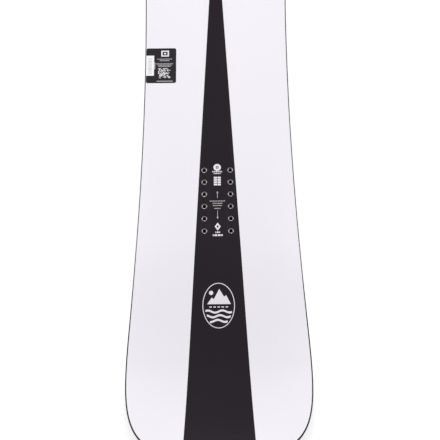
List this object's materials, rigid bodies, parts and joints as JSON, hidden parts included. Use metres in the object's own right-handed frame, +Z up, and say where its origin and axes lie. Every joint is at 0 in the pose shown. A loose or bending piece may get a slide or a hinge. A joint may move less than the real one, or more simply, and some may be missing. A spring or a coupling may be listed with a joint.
{
  "type": "snowboard",
  "caption": "Directional cambered snowboard without bindings, white deck with a tapering black stripe, wood core, steel edges and two packs of threaded inserts.",
  "frame": {"origin": "on the floor under the middle of the board's length and width, board unloaded and base down", "axes": "+Y from tail to nose, +X to the right seen from above with the nose away, +Z up out of the deck"},
  "size_m": [0.283, 1.43, 0.0608],
  "materials": {
    "topsheet_white": "satin white sheet, printed with a tapering warm black stripe",
    "base_black": "stone-ground sintered polyethylene",
    "edge_steel": "ground",
    "foil_rubber": "matt",
    "glass_laminate": "cured glass fabric and epoxy, opaque",
    "core_softwood": "planed, unfinished",
    "core_hardwood": "planed, unfinished",
    "sidewall_black": "sanded satin",
    "pad_laminate": "matt",
    "insert_steel": "turned",
    "label_black": null,
    "label_white": null
  },
  "bodies": {
    "root": {"base_sheet": "base_black", "edge_left": "edge_steel", "edge_right": "edge_steel", "damping_foil_left": "foil_rubber", "damping_foil_right": "foil_rubber", "lower_laminate": "glass_laminate", "core_stringer_centre": "core_softwood", "core_stringer_left_insert": "core_hardwood", "core_stringer_left_inner": "core_softwood", "core_stringer_left_middle": "core_softwood", "core_stringer_left_outer": "core_softwood", "core_stringer_right_insert": "core_hardwood", "core_stringer_right_inner": "core_softwood", "core_stringer_right_middle": "core_softwood", "core_stringer_right_outer": "core_softwood", "sidewall_left": "sidewall_black", "sidewall_right": "sidewall_black", "tip_spacer_tail": "sidewall_black", "tip_spacer_nose": "sidewall_black", "insert_pad_rear": "pad_laminate", "insert_pad_front": "pad_laminate", "insert_rear_left_1": "insert_steel", "insert_rear_left_2": "insert_steel", "insert_rear_left_3": "insert_steel", "insert_rear_left_4": "insert_steel", "insert_rear_left_5": "insert_steel", "insert_rear_left_6": "insert_steel", "insert_rear_right_1": "insert_steel", "insert_rear_right_2": "insert_steel", "insert_rear_right_3": "insert_steel", "insert_rear_right_4": "insert_steel", "insert_rear_right_5": "insert_steel", "insert_rear_right_6": "insert_steel", "insert_front_left_1": "insert_steel", "insert_front_left_2": "insert_steel", "insert_front_left_3": "insert_steel", "insert_front_left_4": "insert_steel", "insert_front_left_5": "insert_steel", "insert_front_left_6": "insert_steel", "insert_front_right_1": "insert_steel", "insert_front_right_2": "insert_steel", "insert_front_right_3": "insert_steel", "insert_front_right_4": "insert_steel", "insert_front_right_5": "insert_steel", "insert_front_right_6": "insert_steel", "upper_laminate": "glass_laminate", "topsheet": "topsheet_white", "care_label": "label_black", "barcode_label": "label_white"}
  },
  "joints": []
}
